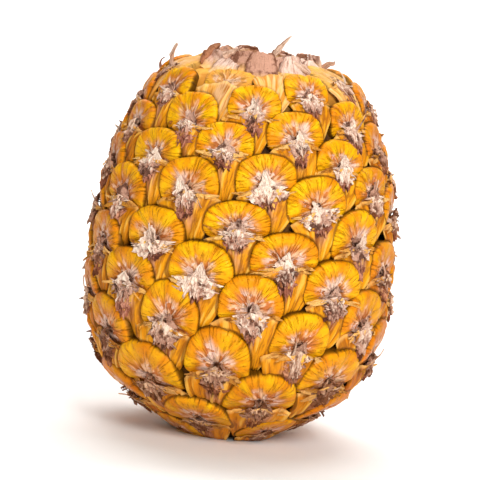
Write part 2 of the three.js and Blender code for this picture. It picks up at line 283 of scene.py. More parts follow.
def plate_faces(copies, rows, columns):
    """Faces of closed thin plates: each a front grid, a back grid and a rim round them."""
    front = grid_quads(rows, columns)
    behind = rows * columns
    corner = np.arange(behind).reshape(rows, columns)
    border = np.concatenate([corner[0, :-1], corner[:-1, -1], corner[-1, :0:-1], corner[:0:-1, 0]])
    after = np.roll(border, -1)
    rim = np.stack([border, border + behind, after + behind, after], -1)
    return repeat_faces(np.concatenate([front, front[:, ::-1] + behind, rim]), copies, 2 * behind)


def doubled(values):
    """The same numbers for the front and the back of plates."""
    return np.stack([values, values], 1)


def add_object(name, data):
    made = bpy.data.objects.new(name, data)
    bpy.context.scene.collection.objects.link(made)
    return made


def make_piece(name, points, quads, material, attributes, caps=(), smooth_shade=True):
    """A mesh object riding on the fruit, with numbers stored at its vertices."""
    mesh = bpy.data.meshes.new(name)
    sizes = np.array([4] * len(quads) + [len(cap) for cap in caps], dtype=np.int32)
    corners = np.concatenate([quads.ravel(), *caps])
    mesh.vertices.add(points.size // 3)
    mesh.vertices.foreach_set("co", points.ravel().astype(np.float32))
    mesh.loops.add(len(corners))
    mesh.loops.foreach_set("vertex_index", corners.astype(np.int32))
    mesh.polygons.add(len(sizes))
    mesh.polygons.foreach_set("loop_start", (np.cumsum(sizes) - sizes).astype(np.int32))
    mesh.polygons.foreach_set("loop_total", sizes)
    mesh.polygons.foreach_set("use_smooth", np.full(len(sizes), smooth_shade))
    for label, values in attributes.items():
        layer = mesh.attributes.new(label, "FLOAT", "POINT")
        wide = np.broadcast_to(values, points.shape[:-1])
        layer.data.foreach_set("value", wide.ravel().astype(np.float32))
    mesh.update(calc_edges=True)
    mesh.validate()
    piece = add_object(name, mesh)
    mesh.materials.append(material)
    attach(piece, "root")
    return piece


# Shader building

class Shade:
    """Short ways to place and join nodes in one node tree.

    Colours are given as seen on screen, from 0 to 255. The base is the colour built up so far.
    """

    def __init__(self, tree):
        self.tree = tree
        self.base = None

    def node(self, kind, **settings):
        made = self.tree.nodes.new(kind)
        for key, value in settings.items():
            setattr(made, key, value)
        return made

    def put(self, socket, value):
        if isinstance(value, bpy.types.NodeSocket):
            self.tree.links.new(value, socket)
        else:
            socket.default_value = colour(*value) if isinstance(value, tuple) else value

    def attributes(self, *names):
        """The numbers stored at the vertices under the given names."""
        return [self.node("ShaderNodeAttribute", attribute_name=name).outputs["Fac"] for name in names]

    def fill(self, made, values):
        """Give a new node its inputs by their names or places."""
        for key, value in values.items():
            self.put(made.inputs[key], value)
        return made

    def math(self, operation, a, b=0.0):
        return self.fill(self.node("ShaderNodeMath", operation=operation), {0: a, 1: b}).outputs[0]

    def times(self, a, b):
        return self.math("MULTIPLY", a, b)

    def plus(self, a, b):
        return self.math("ADD", a, b)

    def between(self, value, low, high, to_low=0.0, to_high=1.0):
        """A soft step of a value from one number to another."""
        made = self.node("ShaderNodeMapRange", interpolation_type="SMOOTHSTEP")
        ends = {"From Min": low, "From Max": high, "To Min": to_low, "To Max": to_high}
        return self.fill(made, {"Value": value, **ends}).outputs[0]

    def mix(self, share, a, b):
        return self.fill(self.node("ShaderNodeMix", data_type="RGBA"), {0: share, 6: a, 7: b}).outputs[2]

    def lay(self, mask, strength, top):
        """Lay a colour over the base where a mask says, up to the given strength."""
        self.base = self.mix(self.times(mask, strength), self.base, top)

    def vector(self, x, y, z):
        return self.fill(self.node("ShaderNodeCombineXYZ"), {0: x, 1: y, 2: z}).outputs[0]

    def noise(self, vector, scale, detail=3.0, roughness=0.55, distortion=0.0):
        given = {"Vector": vector, "Scale": scale, "Detail": detail, "Roughness": roughness}
        given["Distortion"] = distortion
        return self.fill(self.node("ShaderNodeTexNoise"), given).outputs["Fac"]

    def place_in_object(self):
        return self.node("ShaderNodeTexCoord").outputs["Object"]

    def group(self, tree, **values):
        given = {key.replace("_", " "): value for key, value in values.items()}
        return self.fill(self.node("ShaderNodeGroup", node_tree=tree), given).outputs

    def give(self, inputs):
        """Give the tree's shader its inputs."""
        self.fill(self.tree.nodes["Principled BSDF"], inputs)

    def dress(self, height, depth, strength):
        """Give the tree's shader the base colour, and a bump from a height."""
        given = {"Distance": depth, "Strength": strength, "Height": height}
        normal = self.fill(self.node("ShaderNodeBump"), given).outputs["Normal"]
        self.give({"Base Color": self.base, "Normal": normal})


def colour(red, green, blue):
    """A colour as seen on screen, from 0 to 255, as the shader's linear one."""
    channels = [c / 255 for c in (red, green, blue)]
    linear = [c / 12.92 if c <= 0.04045 else ((c + 0.055) / 1.055) ** 2.4 for c in channels]
    return (*linear, 1.0)


def new_group(name, inputs, outputs):
    """A node group of plain numbers, its tree, its given inputs and its results."""
    tree = bpy.data.node_groups.new(name, "ShaderNodeTree")
    for label, usual in inputs.items():
        socket = tree.interface.new_socket(label, in_out="INPUT", socket_type="NodeSocketFloat")
        socket.default_value = usual
    for label in outputs:
        tree.interface.new_socket(label, in_out="OUTPUT", socket_type="NodeSocketFloat")
    given = tree.nodes.new("NodeGroupInput").outputs
    return tree, given, tree.nodes.new("NodeGroupOutput").inputs


DRAW_SPREAD = 71.0  # how far apart two pieces lie in the fibres' pattern


def mottle_group():
    """Large soft blotches and small specks, as two masks."""
    scales = {"Blotch Scale": 60.0, "Speck Scale": 900.0}
    tree, given, result = new_group("mottle", scales, ["Blotch", "Speck"])
    shade = Shade(tree)
    place = shade.place_in_object()
    blotch = shade.noise(place, given["Blotch Scale"], 3.0, 0.6)
    speck = shade.noise(place, given["Speck Scale"], 2.0, 0.6)
    shade.put(result["Blotch"], shade.between(blotch, 0.35, 0.68))
    shade.put(result["Speck"], shade.between(speck, 0.56, 0.74))
    return tree


def fibre_group():
    """Fine fibres that run along a piece, from its own along and across numbers."""
    usual = {"Along": 0.0, "Across": 0.0, "Draw": 0.0, "Fineness": 9.0}
    tree, given, result = new_group("fibre", usual, ["Fibre", "Wave"])
    shade = Shade(tree)
    offset = shade.times(given["Draw"], DRAW_SPREAD)
    fine = shade.times(given["Across"], given["Fineness"])
    stretched = shade.vector(fine, shade.times(given["Along"], 1.3), offset)
    shade.put(result["Fibre"], shade.noise(stretched, 1.0, 3.0, 0.65))
    wide = shade.vector(shade.times(given["Across"], 2.2), given["Along"], offset)
    shade.put(result["Wave"], shade.noise(wide, 1.6, 2.0, 0.5, 0.4))
    return tree


MOTTLE = mottle_group()
FIBRE = fibre_group()


def new_material(name, roughness, specular):
    material = bpy.data.materials.new(name)
    material.use_nodes = True
    shade = Shade(material.node_tree)
    shade.give({"Roughness": roughness, "Specular IOR Level": specular})
    return material, shade


def arch_skin_material():
    """Waxy yellow skin: creased towards the cup, scurfy inside, olive-brown at its foot, partly painted
    shade; painted shade in its creases and off the front.
    """
    material, shade = new_material("arch_skin", 0.5, 0.1)
    ring, turn_x, turn_y, grain = shade.attributes("ring", "turn_x", "turn_y", "scurf")
    draw, level, painted_side_shade, fade = shade.attributes("eye_draw", "level", "painted_side_shade", "fade")
    mottle = shade.group(MOTTLE, Blotch_Scale=70.0, Speck_Scale=1100.0)
    patches = shade.group(MOTTLE, Blotch_Scale=210.0, Speck_Scale=500.0)["Blotch"]
    blotch, speck = mottle["Blotch"], mottle["Speck"]

    up_cup = shade.plus(shade.times(ring, 0.9), shade.times(draw, 53.0))
    round_cup = shade.vector(shade.times(turn_x, 5.0), shade.times(turn_y, 5.0), up_cup)
    creases = shade.between(shade.noise(round_cup, 3.6, 3.0, 0.5), 0.52, 0.74)
    lobes = shade.noise(round_cup, 0.55, 1.0)

    gold = shade.mix(shade.between(lobes, 0.35, 0.65), (230, 144, 4), (250, 190, 8))
    gold = shade.mix(shade.times(patches, 0.3), gold, (222, 122, 20))
    inner = shade.mix(blotch, (214, 128, 22), (236, 168, 60))
    out = shade.between(shade.plus(ring, shade.times(blotch, 0.25)), 0.48, 0.8)
    shade.base = shade.mix(out, inner, gold)
    low = shade.times(shade.between(level, 0.55, 0.0), shade.between(blotch, -0.4, 1.1))
    shade.lay(low, 0.55, (206, 112, 20))
    # painted shade: deeper orange off the front
    shade.lay(painted_side_shade, 0.52, (206, 100, 8))
    scurf_edge = shade.plus(ring, shade.times(shade.math("SUBTRACT", lobes, 0.5), 0.8))
    scurf = shade.between(scurf_edge, 0.64, 0.32)
    shade.lay(scurf, 0.8, shade.mix(shade.between(grain, -0.4, 0.9), (192, 108, 66), (246, 200, 164)))
    flakes = shade.times(scurf, shade.between(patches, 0.5, 0.62))
    shade.lay(flakes, 0.6, (250, 222, 208))
    # darker along the creases: partly their own colour, partly painted shade in the crease valleys
    shade.lay(creases, 0.22, (160, 88, 8))
    shade.lay(speck, 0.35, (196, 112, 30))
    # olive-brown at the foot: partly the seam's own colour, partly painted shade where the arch folds down
    # into the crease
    foot = shade.between(shade.plus(ring, shade.times(creases, 0.02)), 0.935, 1.0)
    shade.lay(foot, 1.0, (104, 66, 8))
    cup = shade.between(ring, 0.16, 0.06)
    shade.lay(cup, 1.0, (104, 60, 36))
    shade.lay(fade, 0.55, (240, 190, 100))
    shade.give({"Roughness": shade.between(scurf, 0.0, 1.0, 0.42, 0.8)})
    shade.dress(shade.math("SUBTRACT", shade.times(speck, 0.2), creases), 0.7 * MM, 0.9)
    return material


def bract_material():
    """Fleshy base of the bract: golden wings, brown-mauve middle, darker olive where arches touch it,
    partly painted shade; painted shade and highlights on its pleats.
    """
    material, shade = new_material("bract_flesh", 0.5, 0.1)
    along, across, pleat, near = shade.attributes("along", "across", "pleat", "near_arch")
    draw, level, painted_side_shade, fade = shade.attributes("eye_draw", "level", "painted_side_shade", "fade")
    fibres = shade.group(FIBRE, Along=along, Across=across, Draw=draw, Fineness=8.0)
    fibre = fibres["Fibre"]
    blotch = shade.group(MOTTLE, Blotch_Scale=90.0, Speck_Scale=900.0)["Blotch"]
    shade.base = shade.mix(fibres["Wave"], (212, 118, 8), (242, 176, 20))
    shade.lay(shade.between(level, 0.6, 0.0), 0.5, (200, 108, 22))
    # painted shade: deeper orange off the front
    shade.lay(painted_side_shade, 0.62, (182, 84, 12))
    uneven = shade.times(shade.math("SUBTRACT", blotch, 0.5), 0.4)
    spread = shade.plus(shade.math("ABSOLUTE", across), uneven)
    middle = shade.times(shade.between(spread, 0.4, 0.1), shade.between(along, 0.15, 0.7))
    shade.lay(middle, 0.9, shade.mix(shade.between(fibre, 0.35, 0.65), (206, 150, 122), (128, 70, 52)))
    folds = shade.between(fibre, 0.5, 0.64)
    shade.lay(folds, 0.65, (140, 74, 22))
    # painted shade in the valleys of the pleats
    valley_shade = shade.between(pleat, 0.1, -0.6)
    shade.lay(valley_shade, 0.6, (128, 66, 18))
    # painted highlight on the ridges of the pleats
    ridge_highlight = shade.between(pleat, 0.5, 1.3)
    shade.lay(ridge_highlight, 0.6, (250, 196, 84))
    # pale lip: partly its own pale dried edge, partly painted highlight along it
    lip = shade.between(along, 0.9, 0.99)
    shade.lay(lip, 0.6, (248, 196, 112))
    # darker olive where arches touch the bract: partly the seam's own colour, partly painted shade between
    # the parts
    seam_and_crease_shade = shade.between(near, 1.05, 1.0)
    shade.lay(seam_and_crease_shade, 0.8, (116, 70, 12))
    shade.lay(fade, 0.65, shade.mix(shade.between(fibre, 0.42, 0.6), (248, 208, 138), (230, 150, 44)))
    shade.dress(fibre, 0.6 * MM, 0.8)
    return material


def paper_material(name, pale, middle, dark, fineness, edge=0.0, fresh_foot=0.0):
    """Dry papery tissue: pale ridges, dull middle tones, dark torn ends, at times a fresh foot; the bands'
    tone is partly painted light.
    """
    material, shade = new_material(name, 0.9, 0.08)
    along, across, draw, tone, wear_and_side_shade = shade.attributes("along", "across", "piece_draw", "tone", "wear_and_side_shade")
    fibre = shade.group(FIBRE, Along=along, Across=across, Draw=draw, Fineness=fineness)["Fibre"]
    mottle = shade.group(MOTTLE, Blotch_Scale=260.0, Speck_Scale=1500.0)
    blotch, speck = mottle["Blotch"], mottle["Speck"]
    # on the bands the tone holds painted light and shade, see make_bands
    shade.base = shade.mix(shade.between(tone, 0.25, 0.75), middle, pale)
    streaks = shade.between(fibre, 0.45, 0.6)
    shade.lay(streaks, 0.75, middle)
    thin_lines = shade.between(fibre, 0.57, 0.68)
    shade.lay(thin_lines, 0.35, dark)
    # dark stains where the blotches lie, and painted shade where the tone is low, as in the bands' crumple
    # valleys
    stain_and_shade = shade.between(shade.plus(blotch, shade.times(tone, -1.2)), 0.0, 0.6)
    shade.lay(stain_and_shade, 0.85, dark)
    shade.lay(speck, 0.5, dark)
    sides = shade.between(shade.math("ABSOLUTE", across), 0.78, 1.0)
    shade.lay(sides, edge, dark)
    foot = shade.between(along, 0.75, 0.1)
    shade.lay(foot, fresh_foot, (246, 194, 104))
    # darker where worn low down, and painted shade on tips off the front
    shade.lay(wear_and_side_shade, 0.6, shade.mix(shade.between(tone, 0.2, 0.8), (122, 70, 30), (206, 146, 84)))
    shade.dress(shade.plus(fibre, shade.times(blotch, 0.5)), 0.5 * MM, 0.9)
    return material


def crease_material():
    """Tissue deep between the eyes, very dark olive-brown, partly painted shade, and golden near the crown.
    """
    material, shade = new_material("deep_crease", 0.8, 0.2)
    blotch = shade.group(MOTTLE, Blotch_Scale=160.0, Speck_Scale=900.0)["Blotch"]
    # very dark olive-brown: partly the tissue's colour, partly painted shade deep between the eyes
    shade.base = shade.mix(blotch, (46, 26, 14), (104, 66, 22))
    shade.lay(*shade.attributes("near_crown"), 1.0, shade.mix(blotch, (206, 136, 44), (236, 176, 74)))
    shade.dress(blotch, 0.6 * MM, 0.8)
    return material


def cut_stalk_material():
    """Fibrous cut of the stalk: pale spots of fibre ends in tan pith, browner at the rim."""
    material, shade = new_material("cut_stalk", 0.85, 0.2)
    mottle = shade.group(MOTTLE, Blotch_Scale=120.0, Speck_Scale=1300.0)
    shade.base = shade.mix(mottle["Blotch"], (176, 134, 80), (206, 168, 112))
    shade.lay(mottle["Speck"], 0.8, (120, 80, 42))
    rim = shade.between(*shade.attributes("ring"), 0.78, 1.0)
    shade.lay(rim, 1.0, (104, 70, 34))
    shade.dress(mottle["Speck"], 0.6 * MM, 0.9)
    return material


# Fruit body under the eyes

CORE_DEPTHS = (3.4 * MM, 2.3 * MM)  # below the eyes, and near the crown
CORE_RISES = (128 * MM, 138 * MM)
CORE_TOP = 142.5 * MM
CORE_ROWS = 110
CORE_COLUMNS = 180


def make_core(material):
    length = np.linspace(LENGTH_AT_GROUND, np.interp(CORE_TOP, SKIN_HEIGHT, SKIN_LENGTH), CORE_ROWS)
    angle = np.linspace(0, 2 * math.pi, CORE_COLUMNS, endpoint=False)
    near_crown = smooth(*CORE_RISES, np.interp(length, SKIN_LENGTH, SKIN_HEIGHT))[:, None]
    points = over_skin(angle[None, :], length[:, None], -blend(*CORE_DEPTHS, near_crown))
    points[..., 2] = np.maximum(points[..., 2], 0)
    quads, caps = round_faces(CORE_ROWS, CORE_COLUMNS)
    core = make_piece("fruit_core", points, quads, material, {"near_crown": near_crown}, caps)
    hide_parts("fruit")


# Waxy arch of each eye

ARCH_SPOKES = 64
ARCH_SECTION = [
    # share of the way from the cup to the outline, height over the skin in millimetres
    (0.03, -1.2), (0.1, -0.8), (0.18, -0.2), (0.27, 0.35), (0.38, 0.85), (0.5, 1.35), (0.62, 1.85),
    (0.73, 2.25), (0.82, 2.4), (0.89, 2.2), (0.94, 1.65), (0.975, 0.85), (1.0, -0.4), (1.005, -3.0),
    (0.99, -6.5),
]
ARCH_HALF_WIDTH = 0.415  # of the eye's width
ARCH_MIDDLE = 0.08  # of the eye's height, where the cup is
ARCH_REACH_UP = 0.385
ARCH_REACH_DOWN = 0.2
ARCH_ROUNDNESS = 2.5
ARCH_NOTCHES = 3


def make_arches(material):
    ring, section = np.array(ARCH_SECTION).T
    turn = np.linspace(0, 2 * math.pi, ARCH_SPOKES, endpoint=False)
    everyone = np.arange(eyes.count)
    cos, sin = np.cos(turn), np.sin(turn)
    power = 2 / ARCH_ROUNDNESS
    reach = np.where(sin > 0, ARCH_REACH_UP, ARCH_REACH_DOWN)
    out_x = ARCH_HALF_WIDTH * np.sign(cos) * np.abs(cos) ** power
    out_y = reach * np.sign(sin) * np.abs(sin) ** power
    wobble = 1 + 0.035 * ripple(cos * 3, sin * 3, phases_for(eyes.count, 1))
    share = ring[None, :, None]
    x = out_x * wobble[:, None, :] * share * (eyes.width * eyes.broad)[:, None, None]
    y = ARCH_MIDDLE + out_y * wobble[:, None, :] * share * eyes.high[:, None, None]
    y = y * eyes.tall[:, None, None]

    legs = 0.42 + 0.58 * smooth(-0.15, 0.5, sin)[None, None, :]
    scurf = rng.normal(0, 1, (eyes.count, len(ring), ARCH_SPOKES))
    scurf = (scurf + np.roll(scurf, 1, 2) + 0.7 * np.roll(scurf, 1, 1)) / 1.7
    scurfy = (smooth(0.08, 0.2, ring) * smooth(0.56, 0.34, ring))[None, :, None] * smooth(0.0, 0.5, sin)
    lift = section[None, :, None] * MM
    raised = np.where(lift > 0, lift * legs, lift) * eyes.size[:, None, None]
    notch_at = rng.uniform(0.1, 0.9, (ARCH_NOTCHES, eyes.count)) * math.pi
    notch_depth = rng.uniform(0.1, 0.9, (ARCH_NOTCHES, eyes.count)) * MM
    crest = smooth(0.35, 0.8, ring)[None, :, None]
    for at, depth in zip(notch_at, notch_depth):
        apart = shortest_turn(turn[None, :] - at[:, None])
        raised = raised - (depth[:, None] * np.exp(-((apart / 0.09) ** 2)))[:, None, :] * crest
    raised = raised + 0.22 * MM * ripple(cos * 6, sin * 6 + share * 3, phases_for(eyes.count, 2)) * crest
    raised = raised + (0.3 * scurf + 0.25) * MM * scurfy
    raised = raised - 1.8 * MM * smooth(0.1, -0.6, sin) * smooth(0.2, 0.6, ring)[None, :, None]
    raised = raised - BARE_DEPTH * eyes.bare[:, None, None]
    points = eyes.place(everyone, x, y, raised)

    each = len(ring) * ARCH_SPOKES
    quads, ends = round_faces(len(ring), ARCH_SPOKES)
    quads = repeat_faces(quads, eyes.count, each)
    caps = [end + k * each for k in range(eyes.count) for end in ends]
    attributes = {"ring": share, "turn_x": cos, "turn_y": sin, "scurf": scurf, **eyes.looks(2)}
    piece = make_piece("eye_arches", points, quads, material, attributes, caps)
    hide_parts("fruit")


# Fleshy base of each bract, which runs down between the arches of the two eyes below

BRACT_ROWS = 15
BRACT_COLUMNS = 29
BRACT_FOOT = -0.62  # of the eye's height
BRACT_LIP = 0.015
BRACT_SINK = 2.8 * MM  # where it lies under an arch


def make_bracts(material):
    v = np.linspace(0, 1, BRACT_ROWS)[None, :, None]
    u = np.linspace(-1, 1, BRACT_COLUMNS)[None, None, :]
    everyone = np.arange(eyes.count)
    width, tall, size = (a[:, None, None] for a in (eyes.width, eyes.tall, eyes.size))
    reach = rng.uniform(0.36, 0.5, (2, eyes.count))[:, :, None, None]
    half = 0.12 + (np.where(u < 0, reach[0], reach[1]) - 0.12) * v
    x = u * half * width
    lip_wave = 0.025 * ripple(u * 4, 0, phases_for(eyes.count, 2))
    top = BRACT_LIP + 0.04 * np.exp(-((u / 0.25) ** 2)) - 0.04 * u**2 - 0.05 * u**6 + lip_wave
    y = blend(BRACT_FOOT, top, v) * tall
    keel = 0.45 * np.exp(-((u / 0.22) ** 2)) * smooth(0.1, 0.6, v)
    pleats = 2.2 * np.abs(ripple(u * 7, v * 3.2, phases_for(eyes.count, 2))) - 0.6
    folds = 0.65 * pleats * (1 - 0.75 * np.exp(-((u / 0.5) ** 2)) * smooth(0.4, 0.75, v))
    lip = 0.5 * smooth(0.84, 1, v) * smooth(0.5, 0.2, np.abs(u))
    lip = lip - 1.3 * smooth(0.78, 1, v) * smooth(0.25, 0.6, np.abs(u))
    front = (-3.0 + 4.2 * smooth(-0.25, 0.75, v) + keel + folds + lip - 0.2 * u**2) * MM * size
    back = front - blend(3.5, 0.5, smooth(0.2, 0.85, v)) * MM * size
    x, y = doubled(x), doubled(y)
    near = nearest_arch(*eyes.where(everyone, x, y), everyone[:, None, None, None])
    sunk = BRACT_SINK * smooth(1.0, 0.85, near)
    points = eyes.place(everyone, x, y, np.stack([front, back], 1) - sunk)
    quads = plate_faces(eyes.count, BRACT_ROWS, BRACT_COLUMNS)
    attributes = {"along": doubled(v), "across": doubled(u), "pleat": doubled(pleats), "near_arch": near}
    attributes.update(eyes.looks(3))
    piece = make_piece("bract_bases", points, quads, material, attributes)
    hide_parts("fruit")


# Crumpled dry band of each bract, with a torn lower edge

PAPER_THICKNESS = 0.35 * MM
BAND_ROWS = 12
BAND_COLUMNS = 21


def make_bands(name, material, top, half_range, high_range, raised_by, tone_shift):
    """Crumpled plates across the bracts, each under its eye's dry tip."""
    which = eyes.dry
    n = len(which)
    v = np.linspace(0, 1, BAND_ROWS)[None, :, None]
    u = np.linspace(-1, 1, BAND_COLUMNS)[None, None, :]
    width, tall, size = (a[which][:, None, None] for a in (eyes.width, eyes.tall, eyes.size))
    half = rng.uniform(*half_range, n)[:, None, None] * width * (1 - 0.25 * eyes.wear_and_side_shade[which][:, None, None])
    high = rng.uniform(*high_range, n)[:, None, None] * tall
    slant = rng.normal(0, 0.12, n)[:, None, None]
    side_tear = rng.normal(0, 1.0, (n, BAND_ROWS, 1)) * MM * np.abs(u) ** 3
    foot_tear = 1.5 * ripple(u * 9, 0, phases_for(n, 2)) + rng.normal(0, 0.6, (n, 1, BAND_COLUMNS))
    foot_tear = foot_tear * MM * (1 - v) ** 1.5
    x = u * half * (0.7 + 0.3 * v) + side_tear * np.sign(u)
    y = top * tall - (1 - v) * high * (1 - 0.45 * u**2) + foot_tear + slant * x - 0.04 * tall * np.abs(u)
    crumple = rng.normal(0, 1, (n, BAND_ROWS, BAND_COLUMNS))
    crumple = (crumple + np.roll(crumple, 1, 1) + 0.6 * np.roll(crumple, 1, 2)) / 2
    crumple = crumple + 0.9 * ripple(u * 6 + v * 2, v * 6, phases_for(n, 2))
    front = raised_by + 0.8 * np.exp(-((u / 0.5) ** 2)) + 0.5 * crumple + 0.9 * (1 - v) ** 2
    front = front * MM * size
    back = front - PAPER_THICKNESS
    points = eyes.place(which, doubled(x), doubled(y), np.stack([front, back], 1))
    quads = plate_faces(n, BAND_ROWS, BAND_COLUMNS)
    # tone: paler on crumple peaks and towards the top as painted light, darker in crumple valleys and lower
    # down as painted shade, with a random shift for each band
    tone = tone_shift + 0.26 * crumple + 0.5 * (v - 0.4) + rng.normal(0, 0.15, n)[:, None, None]
    tone = tone - 0.3 * eyes.wear_and_side_shade[which][:, None, None]
    attributes = {
        "along": doubled(v) * 1.5,
        "across": doubled(u) * 2,
        "piece_draw": widen(eyes.draw[which], 3),
        "tone": doubled(tone),
        "wear_and_side_shade": widen(eyes.wear_and_side_shade[which], 3),
    }
    piece = make_piece(name, points, quads, material, attributes, smooth_shade=False)
    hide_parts("fruit")


# Dry papery blades: bract tips, shreds round them and the crown's leaf bases

USUAL_BLADE = 8 * MM
UPWARD = math.pi / 2  # heading of a blade that points up the fruit


class Blades:
    """Thin curled blades, with one number for all of them or an array with one for each."""

    def __init__(self, count, **numbers):
        for key, value in numbers.items():
            setattr(self, key, widen(np.broadcast_to(np.asarray(value, dtype=float), count), 2))
        self.count = count
        self.draw = widen(rng.random(count), 2)

    def shape(self, rows, columns, crumple, ragged, blunt):
        """Front and back points, each as x, y and raised, and the along and across numbers."""
        s = np.linspace(0, 1, rows)[None, :, None]
        t = np.linspace(-1, 1, columns)[None, None, :]
        rise = self.lift + self.curl * s
        step = self.length / (rows - 1)
        forward = np.cumsum(np.cos(rise) * step, axis=1) - np.cos(rise[:, :1]) * step
        up = np.cumsum(np.sin(rise) * step, axis=1) - np.sin(rise[:, :1]) * step
        roll = self.twist * s
        half = self.width / 2 * blend(1, blunt, s**self.taper)
        half = half * (1 + ragged * ripple(s * 11, t * 0.8, phases_for(self.count, 2)))
        end_tear = ragged * 0.5 * ripple(t * 5, 0, phases_for(self.count, 2)) * smooth(0.5, 1, s)
        forward = forward + end_tear * self.length
        gutter = self.gutter * (t**2 - 0.4) * half
        bumps = gutter + crumple * ripple(s * 7, t * 3, phases_for(self.count, 2)) * smooth(0, 0.4, s)
        side_in, side_up = np.cos(roll), np.sin(roll)
        offset = half * t
        along = forward - np.sin(rise) * (offset * side_up + bumps * side_in)
        across = offset * side_in - bumps * side_up
        raised = up + np.cos(rise) * (offset * side_up + bumps * side_in)
        cos, sin = np.cos(self.heading), np.sin(self.heading)
        x = self.x + along * cos - across * sin
        y = self.y + along * sin + across * cos
        z = self.z + raised
        out_x = side_up * sin - np.sin(rise) * side_in * cos
        out_y = -side_up * cos - np.sin(rise) * side_in * sin
        out_z = np.cos(rise) * side_in
        shifts = [self.thickness / 2 * out for out in (out_x, out_y, out_z)]
        plates = [np.stack([a + shift, a - shift], 1) for a, shift in zip((x, y, z), shifts)]
        return plates, doubled(s), doubled(t)


def make_blades(name, blades, put, material, node, rows, columns, crumple, ragged, blunt):
    """One piece of many blades, each laid on the fruit by a function of x, y and raised."""
    (x, y, raised), along, across = blades.shape(rows, columns, crumple, ragged, blunt)
    points = put(x, y, raised)
    quads = plate_faces(blades.count, rows, columns)
    attributes = {
        "along": along * (blades.length / USUAL_BLADE)[:, None],
        "across": across,
        "piece_draw": blades.draw[:, None],
        "tone": blades.tone[:, None],
        "wear_and_side_shade": blades.wear_and_side_shade[:, None],
    }
    piece = make_piece(name, points, quads, material, attributes, smooth_shade=False)
    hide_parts(node)


def make_bract_tips(material):
    """One main dry tip over each cup, pointing up the fruit."""
    which = eyes.dry
    n = len(which)
    size = eyes.size[which]
    tips = Blades(
        n, x=rng.normal(0, 0.8, n) * MM, y=0.02 * eyes.tall[which],
        z=(1.4 + rng.uniform(0, 0.5, n)) * MM * size, heading=UPWARD + rng.normal(0, 0.2, n),
        length=rng.uniform(4.5, 8.5, n) * MM * size * (1 - 0.4 * eyes.wear_and_side_shade[which]),
        width=rng.uniform(6, 9.5, n) * MM * size, lift=rng.uniform(-0.1, 0.25, n),
        curl=rng.uniform(-0.6, 0.4, n), twist=rng.normal(0, 0.35, n), taper=rng.uniform(0.8, 1.3, n),
        gutter=rng.uniform(-0.5, 0.6, n), thickness=PAPER_THICKNESS,
        tone=rng.beta(1.8, 1.3, n) - 0.3 * eyes.wear_and_side_shade[which], wear_and_side_shade=eyes.wear_and_side_shade[which],
    )
    make_blades("bract_tips", tips, partial(eyes.place, which), material, "fruit",
                rows=14, columns=7, crumple=0.5 * MM, ragged=0.22, blunt=0.08)


SHREDS_PER_EYE = 12


def make_tip_shreds(material):
    """Torn and crumpled shreds that lie sideways and down round the foot of each tip."""
    which = np.repeat(eyes.dry, SHREDS_PER_EYE)
    n = len(which)
    order = np.tile(np.arange(SHREDS_PER_EYE), len(eyes.dry))
    size = eyes.size[which]
    fan = blend(-1.15 * math.pi, 0.15 * math.pi, (order + rng.uniform(0, 1, n)) / SHREDS_PER_EYE)
    shreds = Blades(
        n, x=rng.normal(0, 1.6, n) * MM * size, y=rng.normal(0, 0.03, n) * eyes.tall[which],
        z=(1.3 + rng.uniform(0, 0.8, n)) * MM * size, heading=fan,
        length=rng.uniform(2.5, 6.5, n) * MM * size, width=rng.uniform(0.9, 2.6, n) * MM * size,
        lift=rng.uniform(-0.25, 0.2, n), curl=rng.normal(-0.35, 0.6, n), twist=rng.normal(0, 1.0, n),
        taper=rng.uniform(0.7, 2.0, n), gutter=rng.uniform(-0.8, 0.8, n), thickness=0.3 * MM,
        tone=rng.beta(1.2, 1.2, n) - 0.25 * eyes.wear_and_side_shade[which], wear_and_side_shade=eyes.wear_and_side_shade[which],
    )
    make_blades("tip_shreds", shreds, partial(eyes.place, which), material, "fruit",
                rows=7, columns=5, crumple=0.4 * MM, ragged=0.3, blunt=0.15)


EDGES_PER_EYE = 6


def make_wing_edges(material):
    """Thin pale folded edges of each bract, from the dry band out to the eye's two corners."""
    which = np.repeat(eyes.dry, EDGES_PER_EYE)
    n = len(which)
    side = np.tile([1, -1], n // 2)
    size = eyes.size[which]
    edges = Blades(
        n, x=side * rng.uniform(0.08, 0.26, n) * eyes.width[which],
        y=(0.01 + rng.normal(-0.01, 0.022, n)) * eyes.tall[which],
        z=rng.uniform(1.3, 2.2, n) * MM * size,
        heading=np.where(side > 0, 0, math.pi) - side * rng.normal(0.16, 0.22, n),
        length=rng.uniform(3, 6.5, n) * MM * size, width=rng.uniform(0.8, 2.0, n) * MM * size,
        lift=rng.normal(-0.05, 0.12, n), curl=rng.normal(-0.3, 0.6, n), twist=rng.normal(0, 0.8, n),
        taper=rng.uniform(0.9, 2.5, n), gutter=rng.uniform(-0.6, 0.6, n), thickness=PAPER_THICKNESS,
        tone=rng.beta(1.5, 1.2, n), wear_and_side_shade=eyes.wear_and_side_shade[which],
    )
    make_blades("wing_edges", edges, partial(eyes.place, which), material, "fruit",
                rows=9, columns=4, crumple=0.25 * MM, ragged=0.2, blunt=0.2)


BLOSSOM_PARTS = 6


